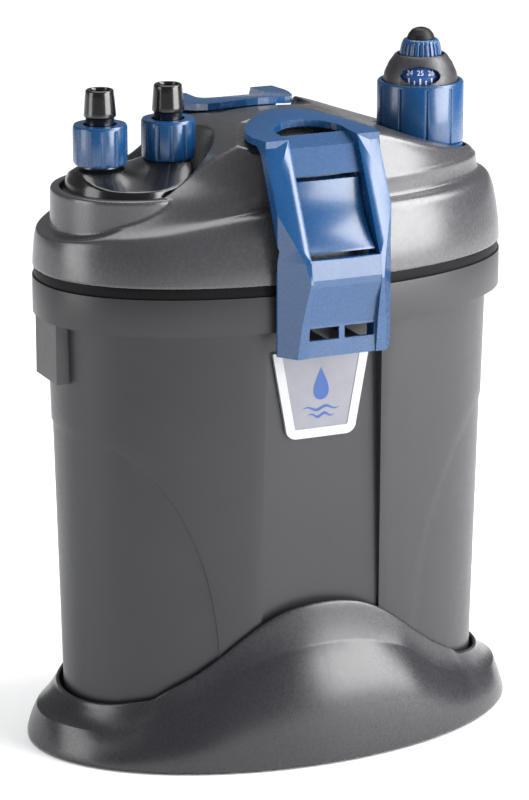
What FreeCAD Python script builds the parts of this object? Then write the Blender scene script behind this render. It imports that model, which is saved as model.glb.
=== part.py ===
import FreeCAD, Part
import math
import os

# External canister filter for an aquarium: a tub with media baskets, a pump head held by two
# swinging latches, a plug-in hose connector and a screw-in heater with a thermostat dial.
# Millimetres. X runs along the filter (hoses at -X, heater at +X), -Y is the front,
# +Z is up and the origin is the centre of the footprint on the table.

V = FreeCAD.Vector
X_AXIS = V(1, 0, 0)
Z_AXIS = V(0, 0, 1)

# ---- driving dimensions ---------------------------------------------------------------------
RIM_A = 110.0                 # half length of the tub's rim
RIM_B = 65.6                  # half depth of the tub's rim
OVAL_N = 2.15                 # superellipse exponent of every oval above the skirt
SKIRT_A = 116.5               # half length of the skirt's foot
SKIRT_B = 76.1                # half depth of the skirt's foot
SKIRT_N = 2.0
FOOT_H = 1.2                  # rubber feet below the skirt

TUB_Z0, TUB_Z1 = 4.0, 200.0
TUB_FOOT = (99.0, 56.5)
TUB_TOP = (103.5, 61.8)
TUB_WALL = 3.0
RIM_Z0, RIM_Z1 = 199.5, 215.7
SEAL_Z1 = 220.4
HEAD_Z0 = 220.5

RECESS_Y = 54.5               # flat panel let into the front and rear of the tub
RECESS_HALF = (29.5, 27.6)    # its half width at the foot and under the rim

LATCH_PIN_Y, LATCH_PIN_Z = 71.5, 193.0
LATCH_PIN_R = 1.5
RUN = 0.05                    # radial running clearance
EAR_X0, EAR_X1 = 5.0, 11.0

INLET_X, OUTLET_X = -80.6, -48.5
CUP_X = -66.0
CUP_R, CUP_BORE_R = 33.6, 29.3
CUP_TOP, CUP_FLOOR = 256.0, 247.0
HEATER_X = 75.0
PUMP_X = 4.0
DUCT_Z = 208.2                # centre line of the cross duct from the pump to the outlet
WINDOW_TURN = -26.6           # the heater's window looks this many degrees off -Y
WINDOW_Z = 295.4
WINDOW_HALF_WIDTH, WINDOW_HALF_HEIGHT = 9.0, 4.1


# ---- helpers ---------------------------------------------------------------------------------
def power(value, exponent):
    return math.copysign(abs(value) ** exponent, value)


def oval_points(a_left, a_right, b, z, n, count=48):
    points = []
    for i in range(count):
        angle = 2 * math.pi * i / count
        c = power(math.cos(angle), 2 / n)
        s = power(math.sin(angle), 2 / n)
        points.append(V((a_right if c > 0 else a_left) * c, b * s, z))
    return points


def closed_wire(points):
    curve = Part.BSplineCurve()
    curve.interpolate(Points=points, PeriodicFlag=True)
    return Part.Wire([curve.toShape()])


def oval(a, b, z, n=OVAL_N):
    return closed_wire(oval_points(a, a, b, z, n))


def loft(wires, ruled=False):
    return Part.makeLoft(wires, True, ruled)


def oval_block(lower, upper, z0, z1, n=OVAL_N):
    return loft([oval(lower[0], lower[1], z0, n), oval(upper[0], upper[1], z1, n)], True)


def box(x0, x1, y0, y1, z0, z1):
    return Part.makeBox(x1 - x0, y1 - y0, z1 - z0, V(x0, y0, z0))


def cylinder(x, y, z0, z1, r):
    return Part.makeCylinder(r, z1 - z0, V(x, y, z0))


def cone(x, y, z0, z1, r0, r1):
    return Part.makeCone(r0, r1, z1 - z0, V(x, y, z0))


def tube(x, y, z0, z1, r_out, r_in):
    return cylinder(x, y, z0, z1, r_out).cut(cylinder(x, y, z0 - 1, z1 + 1, r_in))


def x_cylinder(x0, x1, y, z, r):
    return Part.makeCylinder(r, x1 - x0, V(x0, y, z), X_AXIS)


def prism(points, direction):
    return Part.Face(Part.makePolygon(points + points[:1])).extrude(direction)


def side_prism(outline, x0, x1):
    """An outline of (y, z) points, extruded from x0 to x1."""
    return prism([V(x0, y, z) for y, z in outline], V(x1 - x0, 0, 0))


def plan_prism(outline, z0, z1):
    return prism([V(x, y, z0) for x, y in outline], V(0, 0, z1 - z0))


def turned(outline, x, y=0.0):
    """Revolve an outline of (radius, z) points about a vertical axis."""
    points = [V(x + r, y, z) for r, z in outline]
    face = Part.Face(Part.makePolygon(points + points[:1]))
    return face.revolve(V(x, y, 0), Z_AXIS, 360)


def fuse(*shapes):
    return shapes[0].multiFuse(list(shapes[1:])).removeSplitter()


def cut(shape, *tools):
    for tool in tools:
        shape = shape.cut(tool)
    return shape


def mirror_x(shape):
    return shape.mirror(V(0, 0, 0), X_AXIS)


def to_rear(shape):
    return shape.rotated(V(0, 0, 0), Z_AXIS, 180)


def save(name, shape):
    if len(shape.Solids) == 0 or not shape.isValid():
        raise ValueError("bad shape: " + name)
    if len(shape.Solids) == 1:
        shape = shape.Solids[0]
    shape.exportStep("parts/" + name + ".step")
    print(name, len(shape.Solids), round(shape.Volume / 1000, 2))


# ---- tub and skirt ---------------------------------------------------------------------------
def tub_outside(inset=0.0, z0=TUB_Z0, z1=TUB_Z1):
    lower = (TUB_FOOT[0] - inset, TUB_FOOT[1] - inset)
    upper = (TUB_TOP[0] - inset, TUB_TOP[1] - inset)
    return oval_block(lower, upper, z0, z1)


def recess_cutter(depth_y, extra):
    low, high = RECESS_HALF[0] + extra, RECESS_HALF[1] + extra
    corners = [(-low, TUB_Z0 - 1), (low, TUB_Z0 - 1), (high, RIM_Z0), (-high, RIM_Z0)]
    return prism([V(x, -90, z) for x, z in corners], V(0, 90 - depth_y, 0))


def swoosh_region():
    """Quarter ellipse low on each end of the tub, seen from the front."""
    x0, z0, rx, rz = -106.0, 38.0, 59.0, 112.0
    arc = [V(x0 + rx * math.cos(t), -80, z0 + rz * math.sin(t))
           for t in [math.radians(90 * i / 12) for i in range(13)]]
    curve = Part.BSplineCurve()
    curve.interpolate(Points=arc)
    corner = [arc[-1], V(x0 - 10, -80, arc[-1].z), V(x0 - 10, -80, 12), V(arc[0].x, -80, 12), arc[0]]
    outline = Part.Wire([curve.toShape()] + [
        Part.LineSegment(p, q).toShape() for p, q in zip(corner, corner[1:])])
    return Part.Face(outline).extrude(V(0, 160, 0))


def hinge_ears():
    ears = []
    for x0, x1 in ((EAR_X0, EAR_X1), (-EAR_X1, -EAR_X0)):
        arm = box(x0, x1, -LATCH_PIN_Y, -RECESS_Y + 1.5, LATCH_PIN_Z - 2.2, LATCH_PIN_Z + 3.4)
        knuckle = x_cylinder(x0, x1, -LATCH_PIN_Y, LATCH_PIN_Z, 3.4)
        ears.append(fuse(arm, knuckle))
    return ears


def make_tub():
    outside = tub_outside()
    for cutter in (recess_cutter(RECESS_Y, 0), to_rear(recess_cutter(RECESS_Y, 0))):
        outside = outside.cut(cutter)
    rim = oval_block((RIM_A, RIM_B), (RIM_A, RIM_B), RIM_Z0, RIM_Z1)
    lug = box(-107.5, -95, -12.5, 12.5, 172, RIM_Z0 + 1)
    ears = hinge_ears()
    rear_ears = [to_rear(ear) for ear in ears]
    body = fuse(outside, rim, lug, *ears, *rear_ears)

    inner_low = (TUB_FOOT[0] - TUB_WALL, TUB_FOOT[1] - TUB_WALL)
    inner_high = (TUB_TOP[0] - TUB_WALL, TUB_TOP[1] - TUB_WALL)
    lower_hollow = oval_block(inner_low, inner_high, TUB_Z0 + TUB_WALL, TUB_Z1)
    for cutter in (recess_cutter(RECESS_Y - TUB_WALL, TUB_WALL),
                   to_rear(recess_cutter(RECESS_Y - TUB_WALL, TUB_WALL))):
        lower_hollow = lower_hollow.cut(cutter)
    mouth = oval_block(inner_high, inner_high, RIM_Z0, RIM_Z1 + 1)
    body = cut(body, lower_hollow, mouth)

    skin = tub_outside().cut(tub_outside(inset=0.6, z0=TUB_Z0 - 0.01, z1=TUB_Z1 + 0.01))
    region = swoosh_region()
    for side in (region, mirror_x(region)):
        body = body.cut(skin.common(side))
    for sign in (-1, 1):
        body = body.cut(x_cylinder(-30, 30, sign * LATCH_PIN_Y, LATCH_PIN_Z, LATCH_PIN_R))
    return body


def wave_top():
    """Everything above the skirt's wavy upper edge."""
    low, crest, reach = 28.0, 70.0, 96.0
    points = []
    for i in range(-30, 31):
        x = 4.2 * i
        swell = math.cos(math.pi * x / (2 * reach)) ** 2 if abs(x) < reach else 0.0
        points.append(V(x, -100, low + (crest - low) * swell))
    curve = Part.BSplineCurve()
    curve.interpolate(Points=points)
    corner = [points[-1], V(points[-1].x, -100, 120), V(points[0].x, -100, 120), points[0]]
    outline = Part.Wire([curve.toShape()] + [
        Part.LineSegment(p, q).toShape() for p, q in zip(corner, corner[1:])])
    return Part.Face(outline).extrude(V(0, 200, 0))


def skirt_shell(inset, z0):
    sections = [(z0, SKIRT_A, SKIRT_B), (4.0, SKIRT_A - 0.2, SKIRT_B - 0.1), (14.0, 112.0, 75.0),
                (28.0, 104.6, 72.6), (45.0, 102.4, 67.6), (58.0, 101.8, 62.4), (72.0, 101.4, 59.8)]
    return loft([oval(a - inset, b - inset, z, SKIRT_N) for z, a, b in sections])


def make_skirt():
    shell = skirt_shell(0, FOOT_H).cut(wave_top())
    shell = shell.cut(tub_outside())
    hollow = skirt_shell(3.0, FOOT_H - 0.1).common(box(-130, 130, -90, 90, 0, 20))
    floor = oval_block((TUB_FOOT[0] + 1, TUB_FOOT[1] + 1), (TUB_FOOT[0] + 1, TUB_FOOT[1] + 1), 0, 21)
    shell = shell.cut(hollow.cut(floor))
    bottom = oval_block((TUB_FOOT[0] + 4, TUB_FOOT[1] + 4), (TUB_FOOT[0] + 4, TUB_FOOT[1] + 4),
                        FOOT_H, TUB_Z0)
    return fuse(shell, bottom)


def make_feet():
    return Part.Compound([cylinder(sx * 72, sy * 34, 0, FOOT_H, 9) for sx in (-1, 1) for sy in (-1, 1)])


def badge_outline(grow):
    top, bottom = 23.4 + grow, 16.2 + grow
    z_top, z_bottom = 187.5, 147.5 - grow
    corner = 5.0 + grow
    points = [(-top, z_top), (top, z_top), (bottom + 0.8, z_bottom + corner)]
    for i in range(1, 6):
        t = math.radians(90 * i / 6)
        points.append((bottom + 0.8 - corner * (1 - math.cos(t)), z_bottom + corner * (1 - math.sin(t))))
    points.append((bottom + 0.8 - corner, z_bottom))
    points += [(-x, z) for x, z in reversed(points[2:])]
    return points


def make_badge_frame():
    plate = prism([V(x, -RECESS_Y, z) for x, z in badge_outline(0)], V(0, -1.8, 0))
    window = prism([V(x, -RECESS_Y - 0.8, z) for x, z in badge_outline(-4.2)], V(0, -2, 0))
    return plate.cut(window)


def make_badge_panel():
    return prism([V(x, -RECESS_Y - 0.8, z) for x, z in badge_outline(-4.2)], V(0, -0.7, 0))


# ---- latches ---------------------------------------------------------------------------------
RAIL_IN, RAIL_OUT = 16.2, 27.0
FRONT_LINE = [(-77.5, 190.0), (-79.2, 205.0), (-82.8, 224.0), (-81.2, 233.0), (-57.1, 281.8)]
OUTER_LINE = FRONT_LINE[:3] + [(-78.9, 233.6), (-55.0, 280.9)]   # the rail's face falls back to its edge
BACK_LINE = [(-46.0, 279.4), (-51.5, 276.0), (-70.0, 237.0), (-68.0, 225.0), (-68.0, 190.0)]
FLANK_FRONT = (17.4, -82.8)   # plan line of the rail's bevelled outer flank
FLANK_BACK = (27.0, -69.2)
LOOP_HALF = 28.5
LOOP_Y, LOOP_TIP_Y = -46.0, -12.0
HOLE_Y, HOLE_TIP_Y = -43.5, -30.5
LOOP_TOP = 282.2              # the loop is flat where it leaves the rails and arched at its tip
LOOP_THICK = 3.0


def half_ellipse(center_y, rx, ry, steps=16):
    angles = [math.pi * i / steps for i in range(steps + 1)]
    return [(rx * math.cos(t), center_y + ry * math.sin(t)) for t in angles]


def arched_wire(y, rise, steps=12):
    """Cross section of the loop's slab: a strip that rises by the given height in the middle."""
    xs = [-34.0 + 68.0 * i / steps for i in range(steps + 1)]
    tops = [LOOP_TOP + rise * (1 - (x / LOOP_HALF) ** 2) for x in xs]
    points = [V(x, y, z) for x, z in zip(xs, tops)]
    points += [V(x, y, z - LOOP_THICK) for x, z in reversed(list(zip(xs, tops)))]
    return Part.makePolygon(points + points[:1])


def finger_loop():
    outer = [(-RAIL_OUT, -57.0), (RAIL_OUT, -57.0)] + half_ellipse(LOOP_Y, LOOP_HALF, LOOP_TIP_Y - LOOP_Y)
    plate = plan_prism(outer, 270, 300)
    opening = [(-RAIL_IN, -60.0), (RAIL_IN, -60.0)] + half_ellipse(HOLE_Y, RAIL_IN, HOLE_TIP_Y - HOLE_Y)
    plate = plate.cut(plan_prism(opening, 265, 305))
    slab = loft([arched_wire(-58.0, 0.0), arched_wire(-46.0, 0.4), arched_wire(-32.0, 2.4),
                 arched_wire(-8.0, 4.9)], True)
    return plate.common(slab)


def rail():
    """The rail on the +X side, with its bevelled outer flank."""
    rest = [(-46.0, LOOP_TOP)] + BACK_LINE
    outlines = ((RAIL_IN, FRONT_LINE + rest), (RAIL_OUT, OUTER_LINE + rest))
    wires = [Part.makePolygon([V(x, y, z) for y, z in outline + outline[:1]]) for x, outline in outlines]
    shape = loft(wires, True)
    front, back = V(*FLANK_FRONT, 180), V(*FLANK_BACK, 180)
    across = (back - front).normalize()
    outward = across.cross(Z_AXIS).normalize()
    start, end = front - across * 12, back + across * 24
    flank = prism([start, end, end + outward * 15, start + outward * 15], V(0, 0, 110))
    return shape.cut(flank)


def lower_panel():
    """The panel between the rails, set back a little below the bend."""
    outline = [(-76.9, 190.0), (-76.9, 204.0), (-78.9, 213.0), (-82.4, 222.4), (-82.5, 225.5), (-80.9, 234.0),
               (-78.6, 234.0), (-80.2, 225.0), (-76.6, 213.0), (-75.1, 204.0), (-75.1, 190.0)]
    panel = side_prism(outline, -RAIL_IN - 0.6, RAIL_IN + 0.6)
    for x0, x1 in ((1.3, 15.4), (-15.4, -1.3)):
        panel = panel.cut(box(x0, x1, -90, -60, 197.4, 203.0))
    return panel


def cross_panel():
    outline = [(-61.2, 266.5), (-55.6, 277.9), (-43.5, 281.0), (-43.5, 278.6), (-53.9, 275.6), (-58.4, 266.5)]
    return side_prism(outline, -RAIL_IN - 0.6, RAIL_IN + 0.6)


def make_latch():
    one_rail = rail()
    shape = fuse(one_rail, mirror_x(one_rail), lower_panel(), cross_panel(), finger_loop())
    bore_r = LATCH_PIN_R + RUN
    for x0, x1 in ((RAIL_IN - 2, 23.0), (-23.0, -RAIL_IN + 2)):
        shape = shape.cut(x_cylinder(x0, x1, -LATCH_PIN_Y, LATCH_PIN_Z, bore_r))
    return shape


def make_hinge_pin():
    return x_cylinder(-22.8, 22.8, -LATCH_PIN_Y, LATCH_PIN_Z, LATCH_PIN_R)


# ---- pump head -------------------------------------------------------------------------------
HEAD_SECTIONS = [  # height, half length left, half length right, half depth
    (HEAD_Z0, RIM_A, RIM_A, RIM_B), (229.0, 108.9, 109.6, 65.1), (238.0, 106.0, 108.3, 63.8),
    (244.0, 99.0, 106.8, 62.0), (250.0, 89.0, 104.8, 59.4), (256.0, 79.0, 101.5, 56.6),
    (263.5, 64.5, 98.5, 54.0), (272.0, 54.0, 95.5, 51.3), (279.5, 47.5, 92.0, 48.5),
    (286.0, 44.0, 89.0, 45.5)]
CREST = [(-114, 236.0), (-103, 238.0), (-94, 240.4), (-85, 244.2), (-75, 250.0), (-66, 256.0),
         (-51, 264.5), (-39.5, 272.5), (-25, 280.0), (-10, 283.2), (5, 283.8), (20, 282.6),
         (36, 278.6), (52, 273.2), (68, 268.0), (84, 263.6), (97, 261.2), (106, 259.4), (116, 257.0)]
CHANNEL = [(-90, 215), (-66.6, 215), (-66.6, 236), (-49.6, 273.4), (-41.4, 274.6), (-40.4, 276.2),
           (-30.0, 278.4), (-20.0, 280.2), (-11.4, 281.6), (-11.4, 300), (-90, 300)]


def head_block(inset, z0):
    wires = []
    for index, (z, left, right, half) in enumerate(HEAD_SECTIONS):
        height = z0 if index == 0 else z
        wires.append(closed_wire(oval_points(left - inset, right - inset, half - inset, height, OVAL_N)))
    return loft(wires)


def above_crest(drop):
    points = [V(x, -80, z - drop) for x, z in CREST]
    curve = Part.BSplineCurve()
    curve.interpolate(Points=points)
    corner = [points[-1], V(points[-1].x, -80, 310), V(points[0].x, -80, 310), points[0]]
    outline = Part.Wire([curve.toShape()] + [
        Part.LineSegment(p, q).toShape() for p, q in zip(corner, corner[1:])])
    return Part.Face(outline).extrude(V(0, 160, 0))


def make_head_shell():
    outside = head_block(0, HEAD_Z0).cut(above_crest(0))
    hollow = head_block(3.2, HEAD_Z0 - 0.5).cut(above_crest(3.2))
    channel = side_prism(CHANNEL, -31.5, 31.5)
    for cutter in (channel, to_rear(channel)):
        outside = outside.cut(cutter)
    thick = side_prism([(y + 3.2 if y > -80 else y, z - 2.6) for y, z in CHANNEL], -34.7, 34.7)
    for cutter in (thick, to_rear(thick)):
        hollow = hollow.cut(cutter)
    shell = outside.cut(hollow)

    inside = head_block(1.6, HEAD_Z0).cut(above_crest(1.6))
    bosses = [cylinder(sx * 60, sy * 36, HEAD_Z0, 275, 4.5).common(inside)
              for sx in (-1, 1) for sy in (-1, 1)]
    cup = cylinder(CUP_X, 0, 231, CUP_TOP, CUP_R).cut(cylinder(CUP_X, 0, 230, CUP_FLOOR - 3.5, CUP_R - 3.5))
    seat_wall = cylinder(HEATER_X, 0, 246, 261, 23.4).common(inside)
    seat_wall = seat_wall.cut(cylinder(HEATER_X, 0, 240, 253.5, 20.4))
    shell = fuse(shell, cup, seat_wall, *bosses)

    pocket = cylinder(CUP_X, 0, CUP_FLOOR, CUP_TOP + 1, CUP_BORE_R)
    scoop = cone(CUP_X, 0, CUP_TOP, 290, CUP_BORE_R, 38.0)
    seat = cylinder(HEATER_X, 0, 257, 300, 21.0)
    shell = cut(shell, pocket, scoop, seat, cylinder(HEATER_X, 0, 230, 300, 14.6))
    for x in (INLET_X, OUTLET_X):
        shell = shell.cut(cylinder(x, 0, 235, 250, 9.0))
    for sx in (-1, 1):
        for sy in (-1, 1):
            shell = shell.cut(cylinder(sx * 60, sy * 36, HEAD_Z0 - 1, HEAD_Z0 + 12, 1.6))
    return shell


def make_keeper(head):
    """Hooked plate on the head that the latch's cross panel bears on."""
    curve = Part.Arc(V(-15.2, -78.2, 236.2), V(-15.2, -67.4, 248.6), V(-15.2, -61.0, 264.2)).toShape()
    corner = [V(-15.2, -61.0, 264.2), V(-15.2, -50.0, 264.2), V(-15.2, -50.0, 240.0),
              V(-15.2, -64.0, 236.2), V(-15.2, -78.2, 236.2)]
    outline = Part.Wire([curve] + [Part.LineSegment(p, q).toShape() for p, q in zip(corner, corner[1:])])
    block = Part.Face(outline).extrude(V(30.4, 0, 0)).cut(head)
    return max(block.Solids, key=lambda solid: solid.Volume)


def make_seal():
    ring = oval_block((109.3, 64.9), (109.3, 64.9), RIM_Z1, SEAL_Z1)
    return ring.cut(oval_block((100.3, 58.6), (100.3, 58.6), RIM_Z1 - 1, SEAL_Z1 + 1))


def make_motor_cover():
    plate = oval_block((98.6, 56.8), (98.6, 56.8), 216.0, SEAL_Z1 - 0.1)
    well = cylinder(PUMP_X, 0, 216, 263.5, 14.0)
    plate = fuse(plate, well)
    plate = plate.cut(cylinder(PUMP_X, 0, 215, 261.5, 12.4))
    for x, r in ((INLET_X, 7.8), (OUTLET_X, 7.8), (HEATER_X, 11.3)):
        plate = plate.cut(cylinder(x, 0, 215, 222, r))
    for sx in (-1, 1):
        for sy in (-1, 1):
            plate = plate.cut(cylinder(sx * 60, sy * 36, 215, 222, 1.6))
            plate = plate.cut(cylinder(sx * 60, sy * 36, 215, 218, 3.6))
    return plate


def make_cover_screws():
    screws = []
    for sx in (-1, 1):
        for sy in (-1, 1):
            x, y = sx * 60, sy * 36
            head = cylinder(x, y, 215.6, 218, 3.4).cut(box(x - 2.6, x + 2.6, y - 0.5, y + 0.5, 215, 216.6))
            screws.append(fuse(head, cylinder(x, y, 217, HEAD_Z0 + 11, 1.6)))
    return Part.Compound(screws)


def make_volute():
    housing = tube(PUMP_X, 0, 199.5, 216, 24, 21.4)
    bottom = tube(PUMP_X, 0, 199.5, 202, 24, 9.0)
    hub = tube(PUMP_X, 0, 199.5, 202, 3.6, LATCH_PIN_R)
    spokes = [box(PUMP_X + 3.0, PUMP_X + 9.6, -1, 1, 199.5, 202).rotated(V(PUMP_X, 0, 0), Z_AXIS, 120 * i)
              for i in range(3)]
    housing = fuse(housing, bottom, hub, *spokes)
    return housing.cut(Part.makeCylinder(5.6, 20, V(PUMP_X - 30, 0, DUCT_Z), X_AXIS))


def make_outlet_duct():
    riser = cylinder(OUTLET_X, 0, 202, 238, 7.4)
    run = Part.makeCylinder(7.4, PUMP_X - 23.2 - OUTLET_X, V(OUTLET_X, 0, DUCT_Z), X_AXIS)
    duct = fuse(riser, run).cut(cylinder(OUTLET_X, 0, 204, 239, 5.4))
    duct = duct.cut(Part.makeCylinder(5.4, PUMP_X - 20 - OUTLET_X, V(OUTLET_X, 0, DUCT_Z), X_AXIS))
    return duct.cut(cylinder(PUMP_X, 0, 199, 217, 24.0))


def make_inlet_duct():
    return tube(INLET_X, 0, 200, 238, 7.4, 5.4)


def make_stator_core():
    block = box(PUMP_X - 20, PUMP_X + 20, -19, 19, 230, 248)
    arm = box(PUMP_X + 19, PUMP_X + 44, -8, 8, 230, 248)
    return fuse(block, arm).cut(cylinder(PUMP_X, 0, 220, 260, 14.1))


def make_stator_coil():
    coil = box(PUMP_X + 21, PUMP_X + 41, -16, 16, 223, 255)
    return coil.cut(box(PUMP_X + 10, PUMP_X + 50, -8, 8, 230, 248))


def make_shaft():
    return cylinder(PUMP_X, 0, 199.6, 261.4, LATCH_PIN_R)


def make_bushes():
    upper = tube(PUMP_X, 0, 257.5, 261.5, 4.2, LATCH_PIN_R)
    lower = tube(PUMP_X, 0, 202.0, 203.2, 3.2, LATCH_PIN_R)
    return Part.Compound([upper, lower])


def make_impeller():
    hub = cylinder(PUMP_X, 0, 203.5, 256.8, 5.0)
    disc = cylinder(PUMP_X, 0, 212.0, 213.8, 16.0)
    blades = [box(PUMP_X + 4, PUMP_X + 16, -0.8, 0.8, 204, 212.5).rotated(V(PUMP_X, 0, 0), Z_AXIS, 60 * i)
              for i in range(6)]
    wheel = fuse(hub, disc, *blades)
    return wheel.cut(cylinder(PUMP_X, 0, 200, 260, LATCH_PIN_R + RUN))


def make_rotor():
    return tube(PUMP_X, 0, 217, 255, 11.8, 5.0)


# ---- hose connector --------------------------------------------------------------------------
def make_connector():
    flange = cylinder(CUP_X, 0, CUP_FLOOR, 254.6, 28.6)
    step = cone(CUP_X, 0, 254.6, 257.4, 28.6, 26.4)
    left = cone(INLET_X, 0, 255, 265.6, 14.6, 12.4)
    right = cone(OUTLET_X, 0, 255, 265.6, 17.6, 12.8)
    body = fuse(flange, step, left, right.common(cylinder(CUP_X, 0, 240, 270, 28.6)))
    for x in (INLET_X, OUTLET_X):
        body = fuse(body, cylinder(x, 0, 260, 279.2, 9.6), cylinder(x, 0, 238.2, 250, 8.6))
    for x in (INLET_X, OUTLET_X):
        body = body.cut(cylinder(x, 0, 230, 290, 5.4))
    return cut(body, *o_rings())


def o_rings():
    return [Part.makeTorus(8.05, 0.75, V(x, 0, 240.6)) for x in (INLET_X, OUTLET_X)]


def make_spigot(x):
    outline = [(4.7, 279.2), (9.3, 279.2), (9.3, 281.4), (6.2, 281.4), (6.2, 287.2), (7.1, 287.6),
               (7.1, 288.6), (6.6, 290.6), (6.6, 298.2), (6.0, 299.4), (4.7, 299.4)]
    return turned(outline, x)


def make_nut(x):
    outline = [(9.9, 266.6), (11.5, 266.6), (11.95, 268.0), (11.95, 283.0), (11.4, 284.0), (7.4, 284.0),
               (7.4, 281.8), (9.9, 281.8)]
    nut = turned(outline, x)
    for i in range(12):
        angle = math.radians(30 * i + 15)
        groove = cylinder(x + 12.75 * math.cos(angle), 12.75 * math.sin(angle), 266, 282.4, 1.35)
        nut = nut.cut(groove)
    return nut


# ---- heater ----------------------------------------------------------------------------------
def facing_window(shape):
    return shape.rotated(V(HEATER_X, 0, 0), Z_AXIS, WINDOW_TURN)


def make_heater_dome():
    outline = [(0, 258), (13.6, 258), (13.6, 267.6), (16.9, 267.6), (16.9, 292.0), (16.3, 295.0),
               (14.3, 299.4), (11.8, 302.9), (11.2, 303.4), (10.5, 303.2), (10.5, 300.4), (0, 300.4)]
    dome = turned(outline, HEATER_X)
    hollow = turned([(0, 287.0), (14.2, 287.0), (14.2, 294.5), (12.4, 299.2), (0, 299.2)], HEATER_X)
    dome = cut(dome, hollow, cylinder(HEATER_X, 0, 290, 301, 4.6))
    window = Part.makeCylinder(WINDOW_HALF_WIDTH, 14, V(HEATER_X, -8, 0), V(0, -1, 0))
    flatten = WINDOW_HALF_HEIGHT / WINDOW_HALF_WIDTH
    window = window.transformGeometry(FreeCAD.Matrix(1, 0, 0, 0, 0, 1, 0, 0, 0, 0, flatten, WINDOW_Z))
    return dome.cut(facing_window(window))


def make_scale_drum():
    return turned([(2.7, 287.6), (13.6, 287.6), (13.6, 294.3), (11.8, 298.8), (2.7, 298.8)], HEATER_X)


def make_dial():
    outline = [(2.7, 298.8), (4.3, 298.8), (4.3, 300.8), (9.6, 300.8), (9.6, 303.2), (8.9, 307.4),
               (7.4, 310.2), (2.7, 310.2)]
    dial = turned(outline, HEATER_X)
    for i in range(24):
        angle = math.radians(15 * i)
        groove = cone(HEATER_X + 10.3 * math.cos(angle), 10.3 * math.sin(angle), 300.6, 309.1, 1.0, 0.9)
        dial = dial.cut(groove)
    return dial


def make_gland():
    outline = [(0, 287.0), (2.4, 287.0), (2.4, 310.5), (6.3, 310.5), (5.6, 312.3), (4.0, 314.2),
               (2.2, 315.0), (0, 315.2)]
    return turned(outline, HEATER_X).cut(cylinder(HEATER_X, 0, 312.4, 316, 1.2))


def make_heater_tube():
    outline = [(0, 66), (4, 66.6), (8, 69), (10.2, 74), (10.5, 79), (10.5, 258), (9.3, 258), (9.3, 79),
               (8.8, 75), (6.5, 70.6), (3, 68.2), (0, 67.6)]
    return turned(outline, HEATER_X)


def make_heater_element():
    core = cylinder(HEATER_X, 0, 82, 222, 5.0)
    coils = [Part.makeTorus(5.6, 0.9, V(HEATER_X, 0, 90 + 5 * i)) for i in range(22)]
    return fuse(core, *coils)


def make_collar_ring():
    ring = tube(HEATER_X, 0, 257, 263.6, 19.4, 14.6)
    notch = box(HEATER_X + 15.5, HEATER_X + 21, -2, 2, 261, 265)
    notches = [notch.rotated(V(HEATER_X, 0, 0), Z_AXIS, 90 * i - 12) for i in range(4)]
    return cut(ring, *notches)


def make_collar():
    outline = [(14.0, 263.9), (19.4, 263.9), (19.6, 265.0), (19.6, 290.6), (19.0, 291.4), (17.5, 291.4),
               (17.3, 290.4), (17.3, 267.2), (14.0, 267.2)]
    collar = turned(outline, HEATER_X)
    for i in range(10):
        angle = math.radians(36 * i - 108)
        groove = cylinder(HEATER_X + 19.9 * math.cos(angle), 19.9 * math.sin(angle), 263, 289.8, 0.8)
        collar = collar.cut(groove)
    return collar


# ---- inside the tub --------------------------------------------------------------------------
BASKET_X0, BASKET_X1 = -66.0, 60.0
BASKET_LEVELS = (10.0, 64.0, 118.0)
BASKET_H = 53.0


def basket_block(z0, z1, inset):
    block = oval_block((93.5 - inset, 51.0 - inset), (93.5 - inset, 51.0 - inset), z0, z1)
    middle = box(BASKET_X0 + inset, BASKET_X1 - inset, -60, 60, z0 - 1, z1 + 1)
    panels = box(-90, 90, -50.6 + inset, 50.6 - inset, z0 - 1, z1 + 1)
    return block.common(middle).common(panels)


def make_basket(z0):
    z1 = z0 + BASKET_H
    basket = basket_block(z0, z1, 0).cut(basket_block(z0 + 2, z1 + 1, 1.8))
    slots = []
    for i in range(9):
        x = BASKET_X0 + 9 + 13.5 * i
        slots += [box(x - 3.5, x + 3.5, y0, y0 + 34, z0 - 1, z0 + 3) for y0 in (-36.0, 2.0)]
    basket = cut(basket, *slots)
    grip = [box(x0, x0 + 2.5, -12, 12, z1 - 14, z1 - 1) for x0 in (BASKET_X0 + 1.5, BASKET_X1 - 4.0)]
    return fuse(basket, *grip)


def make_foam(z0, z1):
    return basket_block(z0, z1, 4.5)


def make_rings(z0):
    rings = []
    for layer in range(3):
        for i in range(8):
            for j in range(5):
                x = BASKET_X0 + 14 + 14 * i
                y = -30 + 15 * j
                rings.append(tube(x, y, z0 + 13.6 * layer, z0 + 13.6 * layer + 13, 5.6, 2.6))
    return Part.Compound(rings)


def make_intake_pipe():
    pipe = tube(INLET_X, 0, 8.0, 208.0, 9.6, 7.8)
    for i in range(4):
        slot = box(INLET_X, INLET_X + 12, -2.5, 2.5, 8, 26).rotated(V(INLET_X, 0, 0), Z_AXIS, 90 * i + 45)
        pipe = pipe.cut(slot)
    return pipe


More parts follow.
